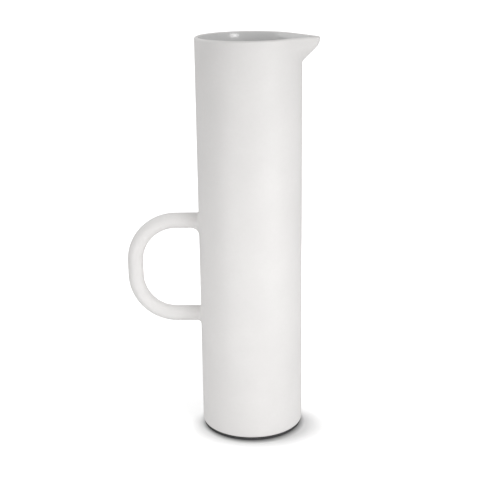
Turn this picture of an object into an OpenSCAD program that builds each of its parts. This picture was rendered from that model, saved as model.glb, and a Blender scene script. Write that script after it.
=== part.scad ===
// Tall water jug in porcelain: a straight round wall, a pinched pouring spout and a D-shaped handle.
// It stands on z = 0 with its axis on Z, its spout towards +X and its handle towards -X.
// All sizes are in millimetres.

/* [Body] */
// Height of the rim above the table
jug_h = 310; // [240:5:380]
// Outside radius of the straight wall
wall_r = 40; // [36:0.5:48]
// Thickness of the wall
wall_t = 5.2; // [4.5:0.1:6]
// Thickness of the floor
floor_t = 6; // [4:0.5:9]
// Radius of the cove between the floor and the wall
cove_r = 5; // [3:0.5:8]
// Thickness of the gloss glaze that lines the inside
glaze_t = 0.4; // [0.3:0.05:0.6]

/* [Lip] */
// Rounding of the rim's edge, which is twice this thick
crest_r = 1.6; // [1.2:0.1:2]
// Radius on which the inside of the wall leans outwards up to that edge
flare_r = 19; // [12:1:30]

/* [Spout] */
// How far the tip stands out from the wall
spout_reach = 13.3; // [10:0.1:16]
// Radius of the curve that turns the spout's front line upright below its tip
front_curve_r = 14; // [12:0.5:20]
// Radius inside the spout's tip
tip_in_r = 1.2; // [0.8:0.1:3]
// How far the lip sinks from the rim to the tip
tip_drop = 1; // [0:0.25:2]

/* [Handle] */
// Radius of the round bar that the handle is made of
bar_r = 6.1; // [5:0.1:7.5]
// Height of the lower arm's centre line
lower_arm_z = 93; // [40:1:150]
// Distance between the centre lines of the two arms
arm_gap = 76.5; // [66:0.5:100]
// Distance from the jug's axis to the centre line of the handle's outer stretch
handle_reach = 90.5; // [82:0.5:110]
// Bend radius of the handle's corners, at the centre line
bend_r = 32.5; // [16:0.5:38]
// Radius of the slip fillet under the upper arm
upper_fillet_r = 7; // [4:0.5:8]
// Radius of the slip fillet under the lower arm
lower_fillet_r = 3.5; // [2:0.5:6]

/* [Foot] */
// Height of the anti-slip ring that shows under the wall
ring_h = 2.5; // [1.5:0.25:3.5]
// How far the ring is set back from the wall's outer face
ring_inset = 0.8; // [0.5:0.1:1.5]
// Width of the ring's flat foot
ring_w = 9; // [8:0.5:11]

/* [Hidden] */

curve_fn = 96;
trim_fn = 480;             // for the round faces that thin parts are trimmed to
overshoot = 1;             // how far a cutting shape runs past what it cuts

// Colours
satin_white = [0.91, 0.905, 0.895];
gloss_white = [0.86, 0.86, 0.85];
bare_clay = [0.89, 0.87, 0.83];
charcoal = [0.13, 0.13, 0.13];

// Wall and lip: the flare is an arc with its axis outside the wall. It would run into the crest's
// rounding without a corner, but sits lower by flare_dip so that the two arcs cross.
inner_r = wall_r - wall_t;
wall_foot_r = 1;           // rounding of the wall's lower outer edge
crest_x = wall_r - crest_r;
crest_z = jug_h - crest_r;
flare_axis_x = inner_r + flare_r;
flare_lean = acos((flare_axis_x - crest_x) / (flare_r - crest_r));
flare_dip = 0.02;
flare_z = crest_z - (flare_r - crest_r) * sin(flare_lean) - flare_dip;

// Floor and lining
floor_z = ring_h + floor_t;
pooling = 2;               // the glaze pools in the corner, so its own cove is this much wider
pool_r = cove_r + pooling;
glaze_top_z = crest_z;     // it stops just below the crest

// Recess and groove under the floor
recess_d = 1.5;
recess_gap = 4;            // bare rim left between the recess and the ring
ring_out_r = wall_r - ring_inset;
ring_in_r = ring_out_r - ring_w;
tongue_inset = 1;          // from the ring's inner face to the tongue
tongue_in_r = ring_in_r + tongue_inset;
tongue_w = 1.8;
tongue_h = 1.6;
tongue_gap = 0.2;          // air left above the tongue
ring_edge_r = 0.5;

// Spout: at each height its outline is the round wall with a smaller circle in front, wrapped by
// two straight flanks. The front line leaves the wall at 45 degrees and curves upright at the rim.
tip_out_r = tip_in_r + wall_t;
spout_h = spout_reach + (sqrt(2) - 1) * front_curve_r;
front_axis_x = wall_r + spout_reach - front_curve_r;
rim_flank_angle = acos((wall_r - tip_out_r) / (wall_r + spout_reach - tip_out_r));

// The lip's sinking grows outwards and up the spout by these powers
sink_outwards = 0.75;
sink_upwards = 2;

// Round-bottomed notch in the wall that the spout fills, cut along X
margin_below = 4;          // from the foot of the spout's front line down to the notch's edge
margin_angle = 7;          // from the end of the spout's flank round to the notch's edge
notch_d = spout_h + margin_below;
notch_half_w = wall_r * sin(rim_flank_angle + margin_angle);
notch_rise = (pow(notch_half_w, 2) - pow(notch_d, 2)) / (2 * notch_d);
notch_r = notch_rise + notch_d;
notch_z = jug_h + notch_rise;
notch_low_z = notch_z - notch_r;

// Fineness of the spout's skin
rise_steps = 11;
flare_steps = 4;
crest_steps = 3;
half_steps = 16;
tip_crowding = 1.5;        // over 1 puts more points near the tip, where the skin bends most

// Handle
arm_end_x = -(handle_reach - bend_r);
upper_arm_z = lower_arm_z + arm_gap;
fillet_over = 1;           // how far a fillet shows above its arm
rise_angle = 12;           // slope at which a fillet rises out of its arm
flare_angle = 30;          // slope at which its arc ends near the wall
flare_kink = 2;            // how much steeper the straight flare is, so that it meets the arc in a corner

// ---- Spout skin ----

function polar(r, angle) = r * [cos(angle), sin(angle)];

// X of the spout's front line at height z, on a skin that lies w inside the outer one
function front_x(z, w) =
    let (r = front_curve_r - w, drop = jug_h - z)
    drop > r / sqrt(2) ? front_axis_x - drop + r * sqrt(2)
                       : front_axis_x + sqrt(r * r - drop * drop);

// Half width of the notch at height z
function notch_y(z) = sqrt(max(0, pow(notch_r, 2) - pow(notch_z - z, 2)));

// Point on half of the outline at height z, a share f of the way from the notch's edge to the front
function outline_point(z, w, f) =
    let (
        r = wall_r - w,
        tip = tip_out_r - w,
        centre = front_x(z, w) - tip,
        flank_angle = centre > r - tip ? acos((r - tip) / centre) : 0,
        edge_angle = asin(min(1, notch_y(z) / r)),
        on_wall = r * (edge_angle - flank_angle) * PI / 180,
        on_flank = flank_angle > 0 ? centre * sin(flank_angle) : 0,
        on_tip = tip * flank_angle * PI / 180,
        s = f * (on_wall + on_flank + on_tip),
        past_wall = s - on_wall,
        past_flank = past_wall - on_flank
    )
    past_wall < 0 || flank_angle == 0 ? polar(r, edge_angle - s / r * 180 / PI)
    : past_flank < 0 ? polar(r, flank_angle) + past_wall * [sin(flank_angle), -cos(flank_angle)]
    : [centre, 0] + polar(tip, flank_angle - past_flank / tip * 180 / PI);

// How far a point of that outline sinks: the more, the further out from the round wall it stands
function sink(p, z, w) =
    tip_drop * pow(max(0, norm(p) - wall_r + w) / spout_reach, sink_outwards)
    * pow((z - notch_low_z) / notch_d, sink_upwards);

// One row of skin points across the spout, from its left seam round the front to its right seam
function skin_row(z, w) = [
    for (i = [-half_steps : half_steps])
        let (
            f = 1 - pow(abs(i) / half_steps, tip_crowding),
            p = outline_point(z, w, f)
        )
        [p[0], i < 0 ? p[1] : -p[1], z - sink(p, z, w)]
];

// Heights from just above the notch's lowest point up its edge to the flare, then on to the crest
rise_heights =
    let (top_angle = acos((notch_z - flare_z) / notch_r))
    concat(
        [for (i = [1 : rise_steps]) notch_z - notch_r * cos(top_angle * i / rise_steps)],
        [for (i = [1 : flare_steps]) flare_z + (crest_z - flare_z) * i / flare_steps]
    );

// Depth behind the outer face of a skin that lies t inside the wall's inner face
function inner_depth(z, t) =
    z < flare_z ? wall_t + t
    : wall_r - flare_axis_x + sqrt(pow(flare_r + t, 2) - pow(z - flare_z, 2));

// Stations [height, depth] up the wall's outer face, and up a skin t inside its inner face
outer_stations = [for (z = rise_heights) [z, 0]];
function inner_stations(t) = [for (z = rise_heights) [z, inner_depth(z, t)]];

function reversed(list) = [for (i = [len(list) - 1 : -1 : 0]) list[i]];

// Angles round the crest at which it has stations, up to its top
crest_angles = [
    flare_lean / 2,
    for (i = [0 : crest_steps - 1]) flare_lean + (90 - flare_lean) * i / crest_steps
];

// Stations over the crest, from its outer side to the flare
crest_stations = concat(
    [for (a = crest_angles) [crest_z + crest_r * sin(a), crest_r * (1 - cos(a))]],
    [[jug_h, crest_r]],
    [
        for (a = reversed(crest_angles))
            let (z = crest_z + crest_r * sin(a), flared = inner_depth(z, 0))
            [z, a < flare_lean ? flared : min(flared, crest_r * (1 + cos(a)))]
    ]
);

// A closed shell of the spout through stations that start and end just above the notch's lowest
// point, which mirror one another in height
module spout_shell(stations) {
    row_len = 2 * half_steps + 1;
    rows = len(stations);
    points = concat(
        [for (s = stations) each skin_row(s[0], s[1])],
        [for (s = [stations[0], stations[rows - 1]]) [wall_r - s[1], 0, notch_low_z]]
    );
    low_out = rows * row_len;
    low_in = low_out + 1;
    function at(row, i) = row * row_len + i;
    last = row_len - 1;
    top_row = rows - 1;
    skin = [
        for (row = [0 : rows - 2], i = [0 : row_len - 2])
            each [[at(row, i), at(row + 1, i), at(row + 1, i + 1)],
                  [at(row, i), at(row + 1, i + 1), at(row, i + 1)]]
    ];
    low_fans = [
        for (i = [0 : row_len - 2])
            each [[low_out, at(0, i), at(0, i + 1)],
                  [low_in, at(top_row, i + 1), at(top_row, i)]]
    ];
    // The seam faces join each station to the one that faces it through the wall
    pairs = floor(rows / 2);
    seams = [
        for (k = [0 : pairs - 1])
            let (a = k, b = k + 1, c = rows - 2 - k, d = rows - 1 - k)
            if (b < c) each [[at(a, 0), at(d, 0), at(c, 0)],
                             [at(a, 0), at(c, 0), at(b, 0)],
                             [at(a, last), at(c, last), at(d, last)],
                             [at(a, last), at(b, last), at(c, last)]]
            else if (b == c) each [[at(a, 0), at(d, 0), at(b, 0)],
                                   [at(a, last), at(b, last), at(d, last)]]
    ];
    low_seams = [
        [low_out, low_in, at(top_row, 0)],
        [low_out, at(top_row, 0), at(0, 0)],
        [low_out, at(top_row, last), low_in],
        [low_out, at(0, last), at(top_row, last)]
    ];
    polyhedron(points, concat(skin, low_fans, seams, low_seams), convexity = 4);
}

// ---- Profiles that are turned about Z ----

// What is outside the rounding of a corner, with the corner's circle centred on the origin
module corner_waste(r) {
    difference() {
        square(r + overshoot);
        circle(r, $fn = curve_fn);
    }
}

// What is outside the crest, between the wall's outer face and the end of the flare
module crest_waste() {
    far = crest_r + overshoot;
    difference() {
        polygon([
            [0, 0], [far, 0], [far, far],
            [-far * cos(flare_lean), far], [-far * cos(flare_lean), far * sin(flare_lean)]
        ]);
        circle(crest_r, $fn = curve_fn);
    }
}

module wall_profile() {
    difference() {
        translate([inner_r, ring_h]) square([wall_t, jug_h - ring_h]);
        translate([flare_axis_x, flare_z]) mirror([1, 0]) corner_waste(flare_r);
        translate([crest_x, crest_z]) crest_waste();
        translate([wall_r - wall_foot_r, ring_h + wall_foot_r]) mirror([0, 1]) corner_waste(wall_foot_r);
    }
}

module base_profile() {
    cove_x = inner_r - glaze_t - cove_r;
    difference() {
        translate([0, ring_h]) square([inner_r, floor_t + cove_r]);
        translate([-overshoot, floor_z]) square([cove_x + overshoot, cove_r + overshoot]);
        translate([cove_x, floor_z + cove_r]) circle(cove_r, $fn = curve_fn);
        translate([-overshoot, ring_h - overshoot])
            square([ring_in_r - recess_gap + overshoot, recess_d + overshoot]);
        translate([tongue_in_r, ring_h - overshoot])
            square([tongue_w, tongue_h + tongue_gap + overshoot]);
    }
}

module glaze_profile() {
    cove_x = inner_r - glaze_t - cove_r;
    pool_x = inner_r - glaze_t - pool_r;
    pool_z = floor_z + glaze_t + pool_r;
    head = flare_z + overshoot;
    difference() {
        translate([0, floor_z]) square([inner_r, flare_z - floor_z]);
        difference() {
            translate([cove_x, floor_z - overshoot])
                square([glaze_t + cove_r + overshoot, cove_r + overshoot]);
            translate([cove_x, floor_z + cove_r]) circle(cove_r, $fn = curve_fn);
        }
        translate([-overshoot, floor_z + glaze_t])
            square([pool_x + overshoot, head - floor_z - glaze_t]);
        translate([-overshoot, pool_z]) square([inner_r - glaze_t + overshoot, head - pool_z]);
        translate([pool_x, pool_z]) circle(pool_r, $fn = curve_fn);
    }
    translate([flare_axis_x, flare_z]) mirror([1, 0]) difference() {
        translate([flare_axis_x - wall_r, 0]) square([wall_t + overshoot, glaze_top_z - flare_z]);
        circle(flare_r, $fn = curve_fn);
        corner_waste(flare_r + glaze_t);
    }
}

module ring_profile() {
    difference() {
        union() {
            translate([ring_in_r, 0]) square([ring_w, ring_h]);
            translate([tongue_in_r, 0]) square([tongue_w, ring_h + tongue_h]);
        }
        translate([ring_out_r - ring_edge_r, ring_edge_r]) mirror([0, 1]) corner_waste(ring_edge_r);
        translate([ring_in_r + ring_edge_r, ring_edge_r]) mirror([1, 0]) mirror([0, 1])
            corner_waste(ring_edge_r);
    }
}

// A concave fillet, turned: its arc rises out of the arm at a slight angle, and a straight flare
// carries it on into the round wall. reach is how far it spreads from the arm at the wall's face.
module fillet_profile(foot_r, reach) {
    sunk = 4;              // how deep its foot runs into the round wall before it is trimmed
    r = reach / (cos(rise_angle) - tan(flare_angle / 2));
    centre_x = foot_r - reach + r * cos(rise_angle);
    arc_end = [centre_x - r * sin(flare_angle), r * (1 - cos(flare_angle))];
    flare_x = arc_end[0] + (arc_end[1] + sunk) / tan(flare_angle + flare_kink);
    difference() {
        polygon([[0, -sunk], [flare_x, -sunk], arc_end, [centre_x, r], [0, r]]);
        translate([centre_x, r]) circle(r, $fn = curve_fn);
    }
}

// ---- Sub-parts ----

module notch() {
    translate([0, 0, notch_z]) rotate([0, 90, 0]) cylinder(r = notch_r, h = 2 * wall_r, $fn = curve_fn);
}

module body_wall() {
    color(satin_white) difference() {
        rotate_extrude($fn = curve_fn) wall_profile();
        notch();
    }
}

module base() {
    color(bare_clay) rotate_extrude($fn = curve_fn) base_profile();
}

module spout() {
    color(satin_white) spout_shell(concat(outer_stations, crest_stations, reversed(inner_stations(0))));
}

module inside_glaze() {
    color(gloss_white) difference() {
        rotate_extrude($fn = curve_fn) glaze_profile();
        notch();
    }
}

module spout_glaze() {
    color(gloss_white)
        spout_shell(concat(inner_stations(0), reversed(inner_stations(glaze_t))));
}

module anti_slip_ring() {
    color(charcoal) rotate_extrude($fn = curve_fn) ring_profile();
}

module arm(z) {
    translate([arm_end_x, 0, z]) rotate([0, 90, 0]) cylinder(r = bar_r, h = -arm_end_x, $fn = trim_fn);
}

// A quarter bend that starts at the origin's arm end and turns into the outer stretch
module corner() {
    rotate([90, 0, 0]) rotate_extrude(angle = 90, $fn = curve_fn)
        translate([bend_r, 0]) circle(bar_r, $fn = curve_fn);
}

module outer_face_of_wall() {
    cylinder(r = wall_r, h = jug_h, $fn = trim_fn);
}

module handle() {
    color(satin_white) difference() {
        union() {
            arm(lower_arm_z);
            arm(upper_arm_z);
            translate([arm_end_x, 0, upper_arm_z - bend_r]) mirror([1, 0, 0]) corner();
            translate([arm_end_x, 0, lower_arm_z + bend_r]) mirror([1, 0, 0]) mirror([0, 0, 1]) corner();
            translate([-handle_reach, 0, lower_arm_z + bend_r])
                cylinder(r = bar_r, h = arm_gap - 2 * bend_r, $fn = curve_fn);
        }
        outer_face_of_wall();
    }
}

// Slip pressed into the corner between an arm and the wall, mostly on the arm's underside
module root_fillet(z, reach) {
    drop = (reach - fillet_over) / 2;
    foot_r = bar_r + (reach + fillet_over) / 2;
    color(satin_white) difference() {
        translate([-wall_r, 0, z - drop]) rotate([0, -90, 0])
            rotate_extrude($fn = curve_fn) fillet_profile(foot_r, reach);
        arm(z);
        outer_face_of_wall();
    }
}

body_wall();
base();
spout();
handle();
root_fillet(upper_arm_z, upper_fillet_r);  // upper_fillet
root_fillet(lower_arm_z, lower_fillet_r);  // lower_fillet
inside_glaze();
spout_glaze();
anti_slip_ring();
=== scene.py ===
"""A tall porcelain water jug on a pale floor: its detailed pieces, materials, lights and camera.

The jug stands at the origin, +Z up, with its spout towards +X and its handle towards -X.
Shapes are worked out in millimetres and made in metres.
"""
import math

import bpy
from mathutils import Matrix, Vector


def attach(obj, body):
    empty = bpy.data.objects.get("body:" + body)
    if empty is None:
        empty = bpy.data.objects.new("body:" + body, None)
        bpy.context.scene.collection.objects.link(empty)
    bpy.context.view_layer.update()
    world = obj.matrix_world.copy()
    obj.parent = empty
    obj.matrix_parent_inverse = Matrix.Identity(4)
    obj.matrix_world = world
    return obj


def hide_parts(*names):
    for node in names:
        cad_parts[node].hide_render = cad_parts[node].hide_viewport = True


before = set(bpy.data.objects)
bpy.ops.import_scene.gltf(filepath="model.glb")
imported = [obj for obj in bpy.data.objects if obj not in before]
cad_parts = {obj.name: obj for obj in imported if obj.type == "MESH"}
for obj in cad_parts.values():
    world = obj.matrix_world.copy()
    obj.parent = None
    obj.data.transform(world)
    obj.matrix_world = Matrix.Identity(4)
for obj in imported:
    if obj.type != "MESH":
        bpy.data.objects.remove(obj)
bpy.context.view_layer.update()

MM = 0.001

# ---- Sizes, in millimetres, as in the CAD model ----

JUG_H = 310.0
WALL_R = 40.0
WALL_T = 5.2
FLOOR_T = 6.0
GLAZE_T = 0.4
COVE_R = 5.0
POOLING = 2.0  # the glaze pools in the corner, so its own cove is this much wider
POOL_R = COVE_R + POOLING
CREST_R = 1.6  # rounding of the rim's edge
FLARE_R = 19.0  # the inside of the wall leans outwards on this radius, up to the crest
WALL_FOOT_R = 1.0
INNER_R = WALL_R - WALL_T
CREST_AXIS = (WALL_R - CREST_R, JUG_H - CREST_R)
FLARE_AXIS_R = INNER_R + FLARE_R
FLARE_LEAN = math.acos((FLARE_AXIS_R - CREST_AXIS[0]) / (FLARE_R - CREST_R))
FLARE_Z = CREST_AXIS[1] - (FLARE_R - CREST_R) * math.sin(FLARE_LEAN)

RING_H = 2.5
RING_INSET = 0.8
RING_W = 9.0
RING_OUT_R = WALL_R - RING_INSET
RING_IN_R = RING_OUT_R - RING_W
RING_EDGE_R = 0.5
TONGUE_INSET = 1.0
TONGUE_IN_R = RING_IN_R + TONGUE_INSET
TONGUE_W = 1.8
TONGUE_H = 1.6
TONGUE_GAP = 0.2  # air left above the tongue
GROOVE_H = TONGUE_H + TONGUE_GAP
RECESS_GAP = 4.0  # bare rim left between the recess and the ring
RECESS_R = RING_IN_R - RECESS_GAP
RECESS_D = 1.5
FLOOR_Z = RING_H + FLOOR_T

SPOUT_REACH = 13.3
FRONT_CURVE_R = 14.0
TIP_IN_R = 1.2
TIP_DROP = 1.0  # how far the lip sinks from the rim to the tip
SINK_OUTWARDS = 0.75  # powers by which it sinks outwards and up the spout
SINK_UPWARDS = 2
TIP_OUT_R = TIP_IN_R + WALL_T
CREASE_SOFTNESS = 1.2  # how gently the beak's front line leaves the wall
SPOUT_H = SPOUT_REACH + (math.sqrt(2) - 1) * FRONT_CURVE_R
FRONT_AXIS_X = WALL_R + SPOUT_REACH - FRONT_CURVE_R

BAR_R = 6.1
LOWER_ARM_Z = 93.0
ARM_GAP = 76.5
UPPER_ARM_Z = LOWER_ARM_Z + ARM_GAP
HANDLE_REACH = 90.5
BEND_R = 32.5
UPPER_FILLET = (7.0, 1.2)  # reach below and above the arm
LOWER_FILLET = (3.5, 1.0)

# The wall's round-bottomed notch, which the spout fills
MARGIN_BELOW = 4.0  # from the foot of the spout's front line down to the notch's edge
MARGIN_ANGLE = math.radians(7)  # from the end of the spout's flank round to the notch's edge
RIM_FLANK = math.acos((WALL_R - TIP_OUT_R) / (WALL_R + SPOUT_REACH - TIP_OUT_R))
NOTCH_D = SPOUT_H + MARGIN_BELOW
NOTCH_HALF_W = WALL_R * math.sin(RIM_FLANK + MARGIN_ANGLE)
NOTCH_RISE = (NOTCH_HALF_W ** 2 - NOTCH_D ** 2) / (2 * NOTCH_D)
NOTCH_R = NOTCH_RISE + NOTCH_D
NOTCH_Z = JUG_H + NOTCH_RISE
NOTCH_LOW_Z = NOTCH_Z - NOTCH_R

# ---- Fineness ----

WALL_COLUMNS = 224
RISE_STEPS = 30
SPOUT_HALF_STEPS = 44
TIP_CROWDING = 1.35
ARC_STEPS = 8
TURN_STEPS = 160


# ---- Mesh building ----

TINY = 1e-6


def place_of(r, z):
    """A profile point rounded off, so that runs which meet at it share one row."""
    return round(r, 5), round(z, 5)


class Skin:
    """Collects points, and faces with a shading normal at each corner."""

    def __init__(self):
        self.points = []
        self.faces = []
        self.normals = []

    def add_row(self, points):
        """Adds points and gives back their numbers."""
        start = len(self.points)
        self.points.extend(Vector(p) for p in points)
        return list(range(start, len(self.points)))

    def add_face(self, corners, normals=None):
        """Adds a face without its repeated corners, so that a strip can narrow to a point."""
        kept = []
        for place, corner in enumerate(corners):
            if corner not in (corners[k] for k in kept):
                kept.append(place)
        if len(kept) < 3:
            return
        ids = [corners[k] for k in kept]
        if normals is None:
            self.normals.extend([None] * len(ids))
        else:
            self.normals.extend(normals[k] for k in kept)
        self.faces.append(ids)

    def add_strip(self, low, high, low_normals=None, high_normals=None, closed=False):
        """Faces between two rows of the same length, or between a row and a single point."""
        count = max(len(low), len(high))
        for j in range(count if closed else count - 1):
            k = (j + 1) % count
            at = [(low, j, low_normals), (low, k, low_normals),
                  (high, k, high_normals), (high, j, high_normals)]
            corners = [row[i if len(row) > 1 else 0] for row, i, _ in at]
            if low_normals is None:
                self.add_face(corners)
            else:
                self.add_face(corners, [n[i if len(n) > 1 else 0] for _, i, n in at])

    def volume(self):
        total = 0.0
        for face in self.faces:
            first = self.points[face[0]]
            for b, c in zip(face[1:], face[2:]):
                total += first.dot(self.points[b].cross(self.points[c])) / 6
        return total

    def face_outwards(self):
        """Turns every face over if the closed skin is inside out."""
        if self.volume() >= 0:
            return
        start = 0
        for face in self.faces:
            end = start + len(face)
            self.normals[start:end] = reversed(self.normals[start:end])
            face.reverse()
            start = end

    def make(self, name, material):
        """The skin as an object. A corner with no normal of its own takes its face's."""
        self.face_outwards()
        mesh = bpy.data.meshes.new(name)
        mesh.from_pydata([p * MM for p in self.points], [], self.faces)
        mesh.validate()
        mesh.polygons.foreach_set("use_smooth", [True] * len(mesh.polygons))
        for polygon in mesh.polygons:
            for corner in polygon.loop_indices:
                self.normals[corner] = (self.normals[corner] or polygon.normal).normalized()
        mesh.normals_split_custom_set(self.normals)
        mesh.materials.append(material)
        piece = bpy.data.objects.new(name, mesh)
        bpy.context.scene.collection.objects.link(piece)
        return piece


def arc(centre, radius, start, end, steps=ARC_STEPS):
    """Profile points and normals [(r, z, nr, nz)] round an arc, with angles in degrees."""
    out = []
    for i in range(steps + 1):
        a = math.radians(start + (end - start) * i / steps)
        out.append((centre[0] + radius * math.cos(a), centre[1] + radius * math.sin(a),
                    math.cos(a), math.sin(a)))
    return out


def line(start, end, normal, steps=1):
    """The same along a straight line."""
    return [(start[0] + (end[0] - start[0]) * i / steps,
             start[1] + (end[1] - start[1]) * i / steps, *normal)
            for i in range(steps + 1)]


def hollow(run):
    """A run whose normals point the other way, for a concave arc."""
    return [(r, z, -nr, -nz) for r, z, nr, nz in run]


def turned(name, runs, material, steps=TURN_STEPS):
    """A solid of revolution. runs are stretches of profile that follow on from each other round
    the section, each smooth in itself. Where the profile reaches the axis it closes on a point."""
    skin = Skin()
    angles = [2 * math.pi * j / steps for j in range(steps)]
    rows = {}

    def row(r, z):
        key = place_of(r, z)
        if key not in rows:
            ring = [(0, 0, z)] if r < TINY else [(r * math.cos(a), r * math.sin(a), z) for a in angles]
            rows[key] = skin.add_row(ring)
        return rows[key]

    def normals(nr, nz):
        return [Vector((nr * math.cos(a), nr * math.sin(a), nz)) for a in angles]

    for run in runs:
        for a, b in zip(run, run[1:]):
            skin.add_strip(row(*a[:2]), row(*b[:2]), normals(*a[2:]), normals(*b[2:]), closed=True)
    return skin.make(name, material)


# ---- The jug's wall and the spout, which share one surface ----

def soft_max(a, b, softness):
    """The larger of two values, rounded off where they are nearly equal."""
    h = max(softness - abs(a - b), 0) / softness
    return max(a, b) + h * h * softness / 4


def front_x(z, w):
    """X of the spout's front line at height z, on a skin w inside the outer one."""
    r = FRONT_CURVE_R - w
    drop = JUG_H - z
    if drop > r / math.sqrt(2):
        x = FRONT_AXIS_X - drop + r * math.sqrt(2)
    else:
        x = FRONT_AXIS_X + math.sqrt(r * r - drop * drop)
    return soft_max(x, WALL_R - w, CREASE_SOFTNESS)


def notch_angle(z, w):
    """Angle from +X of the notch's edge at height z on that skin."""
    rise = NOTCH_Z - z
    y = math.sqrt(max(0.0, NOTCH_R ** 2 - rise ** 2)) if rise < NOTCH_R else 0.0
    return math.asin(min(1.0, y / (WALL_R - w)))


def outline_point(z, w, f):
    """Point on half of the spout's outline, a share f of the way from the notch to the front."""
    r, tip = WALL_R - w, TIP_OUT_R - w
    centre = front_x(z, w) - tip
    flank = math.acos((r - tip) / centre) if centre > r - tip else 0.0
    edge = notch_angle(z, w)
    on_wall = r * (edge - flank)
    on_flank = centre * math.sin(flank)
    s = f * (on_wall + on_flank + tip * flank)
    if s < on_wall or flank == 0.0:
        a = edge - s / r
        return r * math.cos(a), r * math.sin(a)
    s -= on_wall
    if s < on_flank:
        return (r * math.cos(flank) + s * math.sin(flank),
                r * math.sin(flank) - s * math.cos(flank))
    a = flank - (s - on_flank) / tip
    return centre + tip * math.cos(a), tip * math.sin(a)


def wall_angles(z, w):
    """Angles from one edge of the notch round the back of the wall to the other."""
    edge = notch_angle(z, w)
    sweep = 2 * math.pi - 2 * edge
    return [edge + sweep * j / WALL_COLUMNS for j in range(WALL_COLUMNS + 1)]


def spout_row(z, w):
    """Across the spout, from its seam at -Y to its seam at +Y."""
    row = []
    for i in range(-SPOUT_HALF_STEPS, SPOUT_HALF_STEPS + 1):
        x, y = outline_point(z, w, 1 - (abs(i) / SPOUT_HALF_STEPS) ** TIP_CROWDING)
        out = max(0.0, math.hypot(x, y) - WALL_R + w) / SPOUT_REACH
        sink = TIP_DROP * out ** SINK_OUTWARDS * ((z - NOTCH_LOW_Z) / NOTCH_D) ** SINK_UPWARDS
        row.append(Vector((x, math.copysign(y, i) if i else 0.0, z - sink)))
    return row


def notch_heights(top_z):
    """Heights up the notch's edge, from its lowest point to top_z."""
    top = math.acos((NOTCH_Z - top_z) / NOTCH_R)
    return [NOTCH_Z - NOTCH_R * math.cos(top * i / RISE_STEPS) for i in range(RISE_STEPS + 1)]


def shell_wall(name, runs, material):
    """The round part of a shell, open where the spout fits. Each run is a list of (r, z, nr, nz);
    a point above the notch's lowest point leaves the notch open."""
    skin = Skin()
    made = {}

    def row(r, z):
        key = place_of(r, z)
        if key not in made:
            if r < TINY:
                columns = WALL_COLUMNS + 1
                made[key] = (skin.add_row([(0, 0, z)]) * columns, [0.0] * columns)
                return made[key]
            angles = wall_angles(z, WALL_R - r)
            points = [(r * math.cos(a), r * math.sin(a), z) for a in angles]
            if z <= NOTCH_LOW_Z + TINY:
                ids = skin.add_row(points[:-1])
                ids.append(ids[0])
            else:
                ids = skin.add_row(points)
            made[key] = (ids, angles)
        return made[key]

    def normals(angles, nr, nz):
        return [Vector((nr * math.cos(a), nr * math.sin(a), nz)) for a in angles]

    edge = []
    for run in runs:
        for a, b in zip(run, run[1:]):
            (low, low_angles), (high, high_angles) = row(*a[:2]), row(*b[:2])
            if a[0] < TINY:
                low_angles = high_angles
            if b[0] < TINY:
                high_angles = low_angles
            skin.add_strip(low, high, normals(low_angles, *a[2:]), normals(high_angles, *b[2:]))
            for r, z in (a[:2], b[:2]):
                key = place_of(r, z)
                if z >= NOTCH_LOW_Z - TINY and (not edge or edge[-1] != key):
                    edge.append(key)
    # The notch's edge faces join each row to the one that faces it through the wall
    first, last = 0, len(edge) - 1
    while first < last:
        a, b = made[edge[first]][0], made[edge[first + 1]][0]
        d, c = made[edge[last]][0], made[edge[last - 1]][0]
        skin.add_face([a[0], b[0], c[0], d[0]])
        skin.add_face([d[-1], c[-1], b[-1], a[-1]])
        first, last = first + 1, last - 1
    return skin.make(name, material)


def shell_spout(name, run, material):
    """The spout's part of a shell. run is a list of (r, z, nr, nz) that starts and ends at the
    notch's lowest point."""
    rows, points = [], []
    skin = Skin()
    for r, z, _, _ in run:
        if z <= NOTCH_LOW_Z + TINY:
            row = [Vector((r, 0, z))] * (2 * SPOUT_HALF_STEPS + 1)
            rows.append(skin.add_row(row[:1]) * len(row))
        else:
            row = spout_row(z, WALL_R - r)
            rows.append(skin.add_row(row))
        points.append(row)
    last_row, last = len(run) - 1, 2 * SPOUT_HALF_STEPS

    def normal(k, i):
        r, z, nr, nz = run[k]
        if k in (0, last_row) or i in (0, last):
            a = math.atan2(points[k][i].y, points[k][i].x)
            return Vector((nr * math.cos(a), nr * math.sin(a), nz))
        along = points[k][i + 1] - points[k][i - 1]
        over = points[k + 1][i] - points[k - 1][i]
        return along.cross(over).normalized()

    normals = [[normal(k, i) for i in range(last + 1)] for k in range(last_row + 1)]
    for k in range(last_row):
        skin.add_strip(rows[k], rows[k + 1], normals[k], normals[k + 1])
    first, final = 0, last_row
    while first < final:
        a, b = rows[first], rows[min(first + 1, final)]
        d, c = rows[final], rows[max(final - 1, first)]
        skin.add_face([a[0], b[0], c[0], d[0]])
        skin.add_face([d[-1], c[-1], b[-1], a[-1]])
        first, final = first + 1, final - 1
    return skin.make(name, material)


def lip(start, crest_steps=ARC_STEPS, flare_steps=12):
    """Profile over the crest from an angle in degrees, then down the flare inside it."""
    turn = 180 - math.degrees(FLARE_LEAN)
    crest = arc(CREST_AXIS, CREST_R, start, turn, crest_steps)
    return crest + arc((FLARE_AXIS_R, FLARE_Z), FLARE_R, turn, 180, flare_steps)[1:]


def over_rim():
    """From the notch's lowest point up the outer face, over the rim and down the inner face."""
    rise = [(WALL_R, z, 1, 0) for z in notch_heights(CREST_AXIS[1])]
    fall = [(INNER_R, z, -1, 0) for z in reversed(notch_heights(FLARE_Z))]
    return rise + lip(0, 2 * ARC_STEPS)[1:] + fall[1:]


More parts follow.
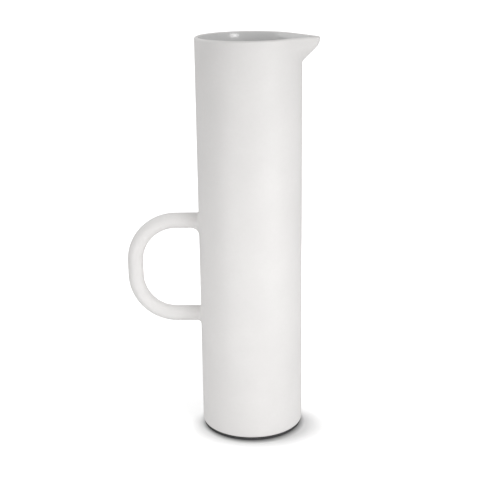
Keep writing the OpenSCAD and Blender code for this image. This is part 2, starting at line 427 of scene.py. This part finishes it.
def glaze_skin():
    """The glaze's exposed face down from the crest, where it feathers out, to the notch's lowest
    point, as (r, z, nr, nz)."""
    start = 110  # degrees round the crest from its outer side, so just past its top
    sunk = 0.06  # how far under the crest's surface it starts
    feather = 5.0  # over what length it reaches its full thickness
    out = []
    fall = [(INNER_R, z, -1, 0) for z in reversed(notch_heights(FLARE_Z))]
    travelled = 0.0
    before = None
    for point in lip(start) + fall[1:]:
        travelled += math.dist(before[:2], point[:2]) if before else 0.0
        before = point
        share = min(1.0, travelled / feather)
        thick = (GLAZE_T + sunk) * (3 * share ** 2 - 2 * share ** 3) - sunk
        r, z, nr, nz = point
        out.append((r + thick * nr, z + thick * nz, nr, nz))
    return out


# ---- The handle and the slip fillets at its roots ----

def wall_x(y):
    """X of the wall's outer face at y, on the handle's side."""
    return -math.sqrt(WALL_R ** 2 - y * y)


def handle_stations():
    """Centre, direction outwards from the D and whether the end follows the wall, along the bar."""
    arm_end = -(HANDLE_REACH - BEND_R)
    arm_steps, bend_steps, side_steps = 6, 28, 4
    out = []
    for i in range(arm_steps):
        x = -WALL_R + (arm_end + WALL_R) * i / arm_steps
        out.append(((x, UPPER_ARM_Z), (0, 1)))
    for i in range(bend_steps):
        a = math.radians(90 + 90 * i / bend_steps)
        c, s = math.cos(a), math.sin(a)
        out.append(((arm_end + BEND_R * c, UPPER_ARM_Z - BEND_R + BEND_R * s), (c, s)))
    for i in range(side_steps):
        z = UPPER_ARM_Z - BEND_R - (ARM_GAP - 2 * BEND_R) * i / side_steps
        out.append(((-HANDLE_REACH, z), (-1, 0)))
    for i in range(bend_steps):
        a = math.radians(180 + 90 * i / bend_steps)
        c, s = math.cos(a), math.sin(a)
        out.append(((arm_end + BEND_R * c, LOWER_ARM_Z + BEND_R + BEND_R * s), (c, s)))
    for i in range(arm_steps + 1):
        x = arm_end + (-WALL_R - arm_end) * i / arm_steps
        out.append(((x, LOWER_ARM_Z), (0, -1)))
    return out


def make_handle(name, material):
    """A round bar bent into a D, with both ends trimmed to the wall and sunk a little into it."""
    sides, sunk = 56, 0.5
    skin = Skin()
    stations = handle_stations()
    rows, normals = [], []
    for k, (centre, outward) in enumerate(stations):
        points, row_normals = [], []
        for j in range(sides):
            a = 2 * math.pi * j / sides
            n = Vector((math.cos(a) * outward[0], math.sin(a), math.cos(a) * outward[1]))
            p = Vector((centre[0], 0, centre[1])) + BAR_R * n
            if k in (0, len(stations) - 1):
                p.x = wall_x(p.y) + sunk
            points.append(p)
            row_normals.append(n)
        rows.append(skin.add_row(points))
        normals.append(row_normals)
    for k in range(len(rows) - 1):
        skin.add_strip(rows[k + 1], rows[k], normals[k + 1], normals[k], closed=True)
    skin.add_face(list(rows[0]))
    skin.add_face(list(reversed(rows[-1])))
    return skin.make(name, material)


def make_fillet(name, arm_z, reaches, material):
    """Slip smoothed by finger between an arm and the wall: flush with both, widest underneath."""
    under, over = reaches
    sides, steps = 72, 14
    sunk = 0.02  # how far its thin edges lie under the surfaces that they run out on
    hidden = 1.0  # how thick it is inside the arm and the wall
    up_arm = 1.1  # how much further it spreads along the arm than down the wall
    skin = Skin()
    columns, column_normals = [], []
    for j in range(sides):
        a = 2 * math.pi * j / sides
        out = Vector((0, math.sin(a), math.cos(a)))
        reach = over + (under - over) * ((1 - math.cos(a)) / 2) ** 1.5
        on_arm = out * BAR_R + Vector((0, 0, arm_z))
        on_wall = out * (BAR_R + reach) + Vector((0, 0, arm_z))
        on_wall.x = wall_x(on_wall.y)
        wall_normal = Vector((on_wall.x, on_wall.y, 0)) / WALL_R
        corner_x = on_wall.x - (on_arm.y - on_wall.y) * wall_normal.y / wall_normal.x
        corner = Vector((corner_x, on_arm.y, on_arm.z))
        start = corner + Vector((-up_arm * reach, 0, 0)) - sunk * out
        end = on_wall - sunk * wall_normal
        column, normals = [], []
        for i in range(steps + 1):
            t = i / steps
            column.append((1 - t) ** 2 * start + 2 * t * (1 - t) * corner + t * t * end)
            along = 2 * (1 - t) * (corner - start) + 2 * t * (end - corner)
            normals.append(along)
        column.append(end - hidden * wall_normal)
        column.append(corner - hidden * out - hidden * wall_normal)
        column.append(start - hidden * out)
        columns.append(column)
        column_normals.append((normals, out, wall_normal))
    rows = [skin.add_row([c[i] for c in columns]) for i in range(steps + 4)]

    def normal(i, j):
        normals, out, wall_normal = column_normals[j]
        if i == 0:
            return out
        if i == steps:
            return wall_normal
        round_it = columns[(j + 1) % sides][i] - columns[j - 1][i]
        n = normals[i].cross(round_it).normalized()
        return n if n.dot(out + wall_normal) > 0 else -n

    shading = [[normal(i, j) for j in range(sides)] for i in range(steps + 1)]
    for i in range(steps):
        skin.add_strip(rows[i + 1], rows[i], shading[i + 1], shading[i], closed=True)
    for i in range(steps, steps + 3):
        skin.add_strip(rows[i + 1], rows[i], closed=True)
    skin.add_strip(rows[0], rows[-1], closed=True)
    return skin.make(name, material)


# ---- Materials ----

def new_material(name, colour):
    material = bpy.data.materials.new(name)
    material.use_nodes = True
    material.diffuse_color = (*colour, 1)
    tree = material.node_tree
    return material, tree, tree.nodes["Principled BSDF"]


def noise(tree, scale, detail=2.0, roughness=0.5, stretch=None):
    """A noise texture over the object's own coordinates, in metres."""
    place = tree.nodes.new("ShaderNodeTexCoord")
    texture = tree.nodes.new("ShaderNodeTexNoise")
    texture.inputs["Scale"].default_value = scale
    texture.inputs["Detail"].default_value = detail
    texture.inputs["Roughness"].default_value = roughness
    if stretch:
        mapping = tree.nodes.new("ShaderNodeMapping")
        mapping.inputs["Scale"].default_value = stretch
        tree.links.new(place.outputs["Object"], mapping.inputs["Vector"])
        tree.links.new(mapping.outputs["Vector"], texture.inputs["Vector"])
    else:
        tree.links.new(place.outputs["Object"], texture.inputs["Vector"])
    return texture.outputs["Fac"]


def remap(tree, value, low, high, out_low, out_high):
    """value carried from the range low to high onto out_low to out_high, and held at its ends."""
    node = tree.nodes.new("ShaderNodeMapRange")
    for key, v in (("From Min", low), ("From Max", high), ("To Min", out_low), ("To Max", out_high)):
        node.inputs[key].default_value = v
    tree.links.new(value, node.inputs["Value"])
    return node.outputs["Result"]


def blend_colours(tree, factor, a, b):
    """Colour a where factor is 0 and b where it is 1. Each is a tuple or another node's output."""
    node = tree.nodes.new("ShaderNodeMix")
    node.data_type = "RGBA"
    tree.links.new(factor, node.inputs["Factor"])
    for socket, colour in ((node.inputs[6], a), (node.inputs[7], b)):
        if isinstance(colour, tuple):
            socket.default_value = (*colour, 1)
        else:
            tree.links.new(colour, socket)
    return node.outputs[2]


def bump(tree, shader, *heights):
    """Stacks (height, distance in metres, strength) bumps on a shader's normal."""
    before = None
    for height, distance, strength in heights:
        node = tree.nodes.new("ShaderNodeBump")
        node.inputs["Distance"].default_value = distance
        node.inputs["Strength"].default_value = strength
        tree.links.new(height, node.inputs["Height"])
        if before:
            tree.links.new(before, node.inputs["Normal"])
        before = node.outputs["Normal"]
    tree.links.new(before, shader.inputs["Normal"])


def satin_glaze():
    """White porcelain under a satin glaze: soft ripples, a fine tooth and faint mottling."""
    material, tree, shader = new_material("satin_glaze", (0.8, 0.79, 0.77))
    cloud = noise(tree, 24, detail=3)
    mottle = noise(tree, 420, detail=4, roughness=0.6)
    clouds = remap(tree, cloud, 0.35, 0.65, 0, 1)
    pale = blend_colours(tree, clouds, (0.775, 0.762, 0.753), (0.805, 0.791, 0.782))
    specks = remap(tree, mottle, 0.3, 0.75, 0, 0.25)
    colour = blend_colours(tree, specks, pale, (0.74, 0.725, 0.71))
    tree.links.new(colour, shader.inputs["Base Color"])
    tree.links.new(remap(tree, mottle, 0.3, 0.7, 0.44, 0.54), shader.inputs["Roughness"])
    shader.inputs["IOR"].default_value = 1.46
    ripple = noise(tree, 70, detail=1)
    tooth = noise(tree, 2600, detail=3)
    bump(tree, shader, (ripple, 0.0006, 0.12), (tooth, 0.00006, 0.25))
    return material


def gloss_glaze():
    """Clear gloss glaze over white porcelain, with shallow ripples that bend its highlights. Its colour
    is greyer than the outside glaze, as painted shade for the jug's inside.
    """
    material, tree, shader = new_material("gloss_glaze", (0.76, 0.76, 0.755))
    cloud = noise(tree, 30, detail=3)
    clouds = remap(tree, cloud, 0.35, 0.65, 0, 1)
    # painted shade: this glaze lines the jug's shaded inside, so its colour is kept greyer than the
    # satin glaze outside
    colour = blend_colours(tree, clouds, (0.66, 0.658, 0.655), (0.71, 0.708, 0.705))
    tree.links.new(colour, shader.inputs["Base Color"])
    tree.links.new(remap(tree, cloud, 0.3, 0.7, 0.13, 0.17), shader.inputs["Roughness"])
    shader.inputs["IOR"].default_value = 1.5
    ripple = noise(tree, 90, detail=1)
    bump(tree, shader, (ripple, 0.0006, 0.018))
    return material


def bare_clay():
    """Fired clay left bare, finely granular, a little warmer than the glaze."""
    material, tree, shader = new_material("bare_clay", (0.72, 0.69, 0.63))
    grain = noise(tree, 1800, detail=5, roughness=0.7)
    cloud = noise(tree, 60, detail=3)
    clouds = remap(tree, cloud, 0.35, 0.65, 0, 1)
    pale = blend_colours(tree, clouds, (0.66, 0.63, 0.57), (0.74, 0.71, 0.66))
    grains = remap(tree, grain, 0.35, 0.7, 0, 0.35)
    colour = blend_colours(tree, grains, pale, (0.56, 0.52, 0.46))
    tree.links.new(colour, shader.inputs["Base Color"])
    tree.links.new(remap(tree, grain, 0.3, 0.7, 0.78, 0.92), shader.inputs["Roughness"])
    bump(tree, shader, (grain, 0.00015, 0.5))
    return material


def anti_slip():
    """Matt charcoal elastomer with a moulded fine texture. Its near-black colour also paints the dark
    line of contact shade along the foot.
    """
    material, tree, shader = new_material("anti_slip", (0.05, 0.05, 0.052))
    grain = noise(tree, 1400, detail=3)
    smear = noise(tree, 90, detail=3)
    smears = remap(tree, smear, 0.35, 0.65, 0, 1)
    # painted shade: the near-black tone also stands in for the contact shade along the foot
    colour = blend_colours(tree, smears, (0.035, 0.035, 0.037), (0.055, 0.055, 0.056))
    tree.links.new(colour, shader.inputs["Base Color"])
    tree.links.new(remap(tree, grain, 0.3, 0.7, 0.62, 0.8), shader.inputs["Roughness"])
    bump(tree, shader, (grain, 0.0001, 0.4))
    return material


SATIN, GLOSS_WITH_PAINTED_SHADE, CLAY, RUBBER_AND_FOOT_SHADE = satin_glaze(), gloss_glaze(), bare_clay(), anti_slip()


# ---- Pieces ----

def fix_in_place(piece, slot, *stands_for):
    """Fixes a piece to the jug in the place of the CAD nodes that it stands for."""
    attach(piece, "root")
    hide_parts(*stands_for)
    return piece


def make_wall():
    foot_top = RING_H + WALL_FOOT_R
    foot = arc((WALL_R - WALL_FOOT_R, foot_top), WALL_FOOT_R, -90, 0)
    side = foot + line((WALL_R, foot_top), (WALL_R, NOTCH_LOW_Z), (1, 0), 24)[1:]
    inside = line((INNER_R, NOTCH_LOW_Z), (INNER_R, RING_H), (-1, 0), 24)
    under = line((INNER_R, RING_H), (WALL_R - WALL_FOOT_R, RING_H), (0, -1))
    return shell_wall("wall_of_jug", [side + over_rim()[1:] + inside[1:], under], SATIN)


def make_spout():
    return shell_spout("pouring_spout", over_rim(), SATIN)


def glaze_back(points):
    """The glaze's hidden face: a parallel run inside the clay, from the notch's lowest point up."""
    depth = 0.3
    return [(r - depth * nr, z - depth * nz, -nr, -nz) for r, z, nr, nz in reversed(points)]


def make_spout_glaze():
    front = glaze_skin()
    return shell_spout("spout_glaze_skin", glaze_back(front) + front, GLOSS_WITH_PAINTED_SHADE)


def make_lining():
    skin = glaze_skin()
    glaze_r = INNER_R - GLAZE_T
    pool_z = FLOOR_Z + GLAZE_T + POOL_R
    low = skin[-1]
    down = line((low[0], low[1]), (glaze_r, pool_z), (-1, 0), 30)
    pool = hollow(arc((glaze_r - POOL_R, pool_z), POOL_R, 0, -90, 12))
    floor = line((glaze_r - POOL_R, FLOOR_Z + GLAZE_T), (0, FLOOR_Z + GLAZE_T), (0, 1), 6)
    front = skin + down[1:] + pool[1:] + floor[1:]
    back = glaze_back(front)
    top = [back[-1][:2] + (1, 0), front[0][:2] + (1, 0)]
    return shell_wall("lining_glaze", [back, top, front], GLOSS_WITH_PAINTED_SHADE)


def make_base():
    """The floor disc: its top and cove, its outer face, the ring's groove and the soft recess."""
    cove_x = INNER_R - GLAZE_T - COVE_R
    top_z = FLOOR_Z + COVE_R
    out_r = INNER_R - 0.02  # a hair inside the wall, so that the two faces don't coincide
    recess_z = RING_H + RECESS_D
    soft = 0.7
    groove_out = TONGUE_IN_R + TONGUE_W
    groove_top = RING_H + GROOVE_H
    return turned("foot_and_floor", [
        line((0, FLOOR_Z), (cove_x, FLOOR_Z), (0, 1), 5)
        + hollow(arc((cove_x, top_z), COVE_R, -90, 0, 10))[1:],
        line((INNER_R - GLAZE_T, top_z), (out_r, top_z), (0, 1)),
        line((out_r, top_z), (out_r, RING_H), (1, 0)),
        line((out_r, RING_H), (groove_out, RING_H), (0, -1)),
        line((groove_out, RING_H), (groove_out, groove_top), (-1, 0)),
        line((groove_out, groove_top), (TONGUE_IN_R, groove_top), (0, -1)),
        line((TONGUE_IN_R, groove_top), (TONGUE_IN_R, RING_H), (1, 0)),
        line((TONGUE_IN_R, RING_H), (RECESS_R + soft, RING_H), (0, -1))
        + arc((RECESS_R + soft, RING_H + soft), soft, -90, -180)[1:]
        + hollow(arc((RECESS_R - soft, recess_z - soft), soft, 0, 90))[1:]
        + line((RECESS_R - soft, recess_z), (0, recess_z), (0, -1), 5)[1:],
    ], CLAY)


def make_ring():
    """The ring's flat foot with its rounded edges, and the tongue on top of it."""
    out_r, in_r, edge = RING_OUT_R, RING_IN_R, RING_EDGE_R
    tongue_out = TONGUE_IN_R + TONGUE_W
    tongue_top = RING_H + TONGUE_H
    return turned("anti_slip_foot", [
        line((in_r + edge, 0), (out_r - edge, 0), (0, -1), 3)
        + arc((out_r - edge, edge), edge, -90, 0)[1:]
        + line((out_r, edge), (out_r, RING_H), (1, 0))[1:],
        line((out_r, RING_H), (tongue_out, RING_H), (0, 1)),
        line((tongue_out, RING_H), (tongue_out, tongue_top), (1, 0)),
        line((tongue_out, tongue_top), (TONGUE_IN_R, tongue_top), (0, 1)),
        line((TONGUE_IN_R, tongue_top), (TONGUE_IN_R, RING_H), (-1, 0)),
        line((TONGUE_IN_R, RING_H), (in_r, RING_H), (0, 1)),
        line((in_r, RING_H), (in_r, edge), (-1, 0))
        + arc((in_r + edge, edge), edge, 180, 270)[1:],
    ], RUBBER_AND_FOOT_SHADE, steps=192)


fix_in_place(make_wall(), "satin_glaze", "body_wall")
fix_in_place(make_spout(), "satin_glaze", "spout")
fix_in_place(make_handle("bar_handle", SATIN), "satin_glaze", "handle")
fix_in_place(make_fillet("upper_root", UPPER_ARM_Z, UPPER_FILLET, SATIN), "satin_glaze", "upper_fillet")
fix_in_place(make_fillet("lower_root", LOWER_ARM_Z, LOWER_FILLET, SATIN), "satin_glaze", "lower_fillet")
fix_in_place(make_lining(), "gloss_glaze", "inside_glaze")
fix_in_place(make_spout_glaze(), "gloss_glaze", "spout_glaze")
fix_in_place(make_base(), "bare_clay", "base")
fix_in_place(make_ring(), "anti_slip", "anti_slip_ring")


# ---- Floor, light and camera ----

def spread(tree, stretch, shift):
    """Distance from a point near the jug's axis, across a stretched floor."""
    place = tree.nodes.new("ShaderNodeTexCoord")
    moved = tree.nodes.new("ShaderNodeVectorMath")
    moved.operation = "MULTIPLY_ADD"
    moved.inputs[1].default_value = stretch
    moved.inputs[2].default_value = shift
    tree.links.new(place.outputs["Object"], moved.inputs[0])
    length = tree.nodes.new("ShaderNodeVectorMath")
    length.operation = "LENGTH"
    tree.links.new(moved.outputs[0], length.inputs[0])
    return length.outputs["Value"]


def make_floor():
    """A matt floor with a painted contact shadow: its colour is darkest next to the foot. Further out it
    glows a little where the camera sees it, painted light that makes the contact shadow fade into white."""
    size = 12.0
    mesh = bpy.data.meshes.new("floor")
    corners = [(-size, -size, 0), (size, -size, 0), (size, size, 0), (-size, size, 0)]
    mesh.from_pydata(corners, [], [(0, 1, 2, 3)])
    material, tree, shader = new_material("pale_floor", (0.9, 0.9, 0.9))
    shader.inputs["Roughness"].default_value = 0.9
    shader.inputs["Specular IOR Level"].default_value = 0.0
    # painted contact shadow: the floor's colour goes from dark grey at the foot to pale a few
    # millimetres out
    near = spread(tree, (1.1, 1.15, 1), (-0.001, 0.006, 0))
    painted_shadow_inner, painted_shadow_outer = 0.038, 0.046
    out_of_painted_shadow = remap(tree, near, painted_shadow_inner, painted_shadow_outer, 0, 1)
    colour = blend_colours(tree, out_of_painted_shadow, (0.2, 0.2, 0.2), (0.8, 0.8, 0.8))
    tree.links.new(colour, shader.inputs["Base Color"])
    # painted light: the floor emits, for camera rays only, an amount that grows with distance from the
    # foot, so the contact shadow fades into white
    reach = spread(tree, (1, 1.42, 1), (-0.004, 0.019, 0))
    edge, shadow_end, far = 0.0395, 0.0565, 0.6
    painted_glow = tree.nodes.new("ShaderNodeEmission")
    painted_glow.inputs["Color"].default_value = (1, 1, 1, 1)
    seen = tree.nodes.new("ShaderNodeLightPath")
    painted_glow_ramp = tree.nodes.new("ShaderNodeMath")
    painted_glow_ramp.operation = "ADD"
    tree.links.new(remap(tree, reach, edge, shadow_end, 0.0, 0.4), painted_glow_ramp.inputs[0])
    tree.links.new(remap(tree, reach, shadow_end, far, 0.0, 0.5), painted_glow_ramp.inputs[1])
    amount = tree.nodes.new("ShaderNodeMath")
    amount.operation = "MULTIPLY"
    tree.links.new(painted_glow_ramp.outputs[0], amount.inputs[0])
    tree.links.new(seen.outputs["Is Camera Ray"], amount.inputs[1])
    tree.links.new(amount.outputs[0], painted_glow.inputs["Strength"])
    both = tree.nodes.new("ShaderNodeAddShader")
    tree.links.new(shader.outputs[0], both.inputs[0])
    tree.links.new(painted_glow.outputs[0], both.inputs[1])
    tree.links.new(both.outputs[0], tree.nodes["Material Output"].inputs["Surface"])
    mesh.materials.append(material)
    floor = bpy.data.objects.new("floor", mesh)
    bpy.context.scene.collection.objects.link(floor)


def make_world():
    """An even white surround, brighter where the camera sees it than as a light."""
    world = bpy.data.worlds.new("studio")
    world.use_nodes = True
    tree = world.node_tree
    back = tree.nodes["Background"]
    back.inputs["Color"].default_value = (1, 1, 1, 1)
    seen = tree.nodes.new("ShaderNodeLightPath")
    amount = remap(tree, seen.outputs["Is Camera Ray"], 0, 1, 0.52, 1.2)
    tree.links.new(amount, back.inputs["Strength"])
    bpy.context.scene.world = world


def softbox(name, azimuth, elevation, distance, size, power, aim=(0, 0, 0.16)):
    """A square area light. Azimuth is measured from the camera's side towards +X."""
    a, e = math.radians(azimuth), math.radians(elevation)
    direction = Vector((math.sin(a) * math.cos(e), -math.cos(a) * math.cos(e), math.sin(e)))
    light = bpy.data.lights.new(name, "AREA")
    light.shape = "SQUARE"
    light.size = size
    light.energy = power
    lamp = bpy.data.objects.new(name, light)
    lamp.location = Vector(aim) + direction * distance
    lamp.rotation_euler = (-direction).to_track_quat("-Z", "Y").to_euler()
    bpy.context.scene.collection.objects.link(lamp)


def make_lights():
    softbox("key", azimuth=38, elevation=39, distance=1.5, size=0.42, power=5.05)
    softbox("near", azimuth=48, elevation=0, distance=0.45, size=0.2, power=0.5, aim=(0, 0, 0.12))
    softbox("low", azimuth=-35, elevation=0, distance=0.4, size=0.16, power=0.32, aim=(0, 0, 0.09))
    softbox("rear", azimuth=-128, elevation=50, distance=0.5, size=0.3, power=0.45, aim=(-0.06, 0, 0.13))
    softbox("back", azimuth=172, elevation=6, distance=0.5, size=0.2, power=0.45, aim=(0, 0, 0.15))


def make_camera():
    """A camera in front of the jug on the -Y side, looking a little down and held slightly askew."""
    distance, height = 0.7661, 0.3847
    pitch, yaw, roll = math.radians(16.833), math.radians(-0.610), math.radians(-0.818)
    look = Vector((math.sin(yaw) * math.cos(pitch), math.cos(yaw) * math.cos(pitch), -math.sin(pitch)))
    right = look.cross(Vector((0, 0, 1))).normalized()
    up = right.cross(look)
    tilted_right = math.cos(roll) * right + math.sin(roll) * up
    tilted_up = -math.sin(roll) * right + math.cos(roll) * up
    data = bpy.data.cameras.new("camera")
    data.sensor_width = 36.0
    data.lens = 76.88
    camera = bpy.data.objects.new("camera", data)
    axes = Matrix((tilted_right, tilted_up, -look)).transposed().to_4x4()
    camera.matrix_world = Matrix.Translation((0, -distance, height)) @ axes
    bpy.context.scene.collection.objects.link(camera)
    bpy.context.scene.camera = camera


make_floor()
make_world()
make_lights()
make_camera()
bpy.context.scene.view_settings.view_transform = "Standard"
